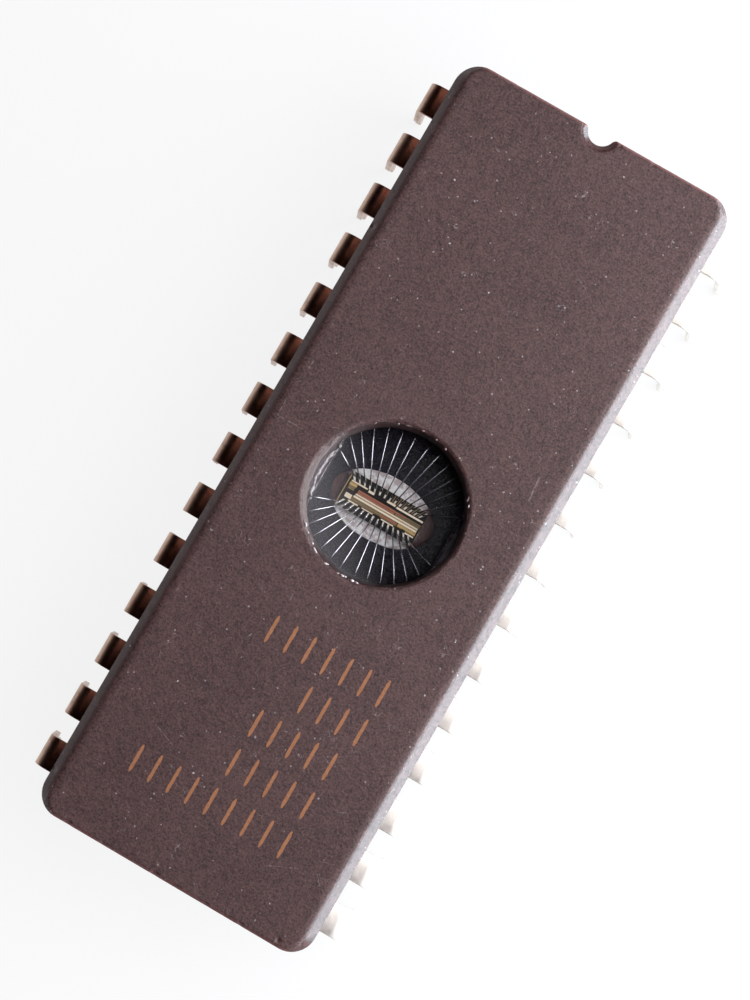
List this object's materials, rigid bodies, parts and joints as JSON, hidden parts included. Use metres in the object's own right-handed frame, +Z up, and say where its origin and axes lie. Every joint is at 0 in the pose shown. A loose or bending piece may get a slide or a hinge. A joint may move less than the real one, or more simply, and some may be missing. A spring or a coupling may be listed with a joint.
{
  "type": "eprom chip",
  "caption": "Windowed ceramic memory chip: dark ceramic body with an end notch, a round glass window over the wired die, and bent metal leads down both long sides.",
  "frame": {"origin": "middle of the footprint at the height of the lead tips", "axes": "+X across the body, +Y along the lead rows towards the notched end, +Z up out of the window"},
  "size_m": [0.0162, 0.037, 0.0086],
  "materials": {
    "dark_ceramic": "matte pressed ceramic, brown-purple with fine speckle",
    "window_glass": "clear fused glass",
    "seal_glass": "dark fused sealing glass",
    "silicon": "polished die with fine metal pattern",
    "die_attach": "satin silver-filled glass",
    "bond_wire": "drawn wire",
    "lead_metal": "tin plate, tarnished brown"
  },
  "bodies": {
    "root": {"ceramic_base": "dark_ceramic", "ceramic_lid": "dark_ceramic", "window_glass": "window_glass", "seal_glass": "seal_glass", "silicon_die": "silicon", "die_attach": "die_attach", "bond_wires_notch_side": "bond_wire", "bond_wires_far_side": "bond_wire", "lead_01": "lead_metal", "lead_02": "lead_metal", "lead_03": "lead_metal", "lead_04": "lead_metal", "lead_05": "lead_metal", "lead_06": "lead_metal", "lead_07": "lead_metal", "lead_08": "lead_metal", "lead_09": "lead_metal", "lead_10": "lead_metal", "lead_11": "lead_metal", "lead_12": "lead_metal", "lead_13": "lead_metal", "lead_14": "lead_metal", "lead_15": "lead_metal", "lead_16": "lead_metal", "lead_17": "lead_metal", "lead_18": "lead_metal", "lead_19": "lead_metal", "lead_20": "lead_metal", "lead_21": "lead_metal", "lead_22": "lead_metal", "lead_23": "lead_metal", "lead_24": "lead_metal", "lead_25": "lead_metal", "lead_26": "lead_metal", "lead_27": "lead_metal", "lead_28": "lead_metal"}
  },
  "joints": []
}
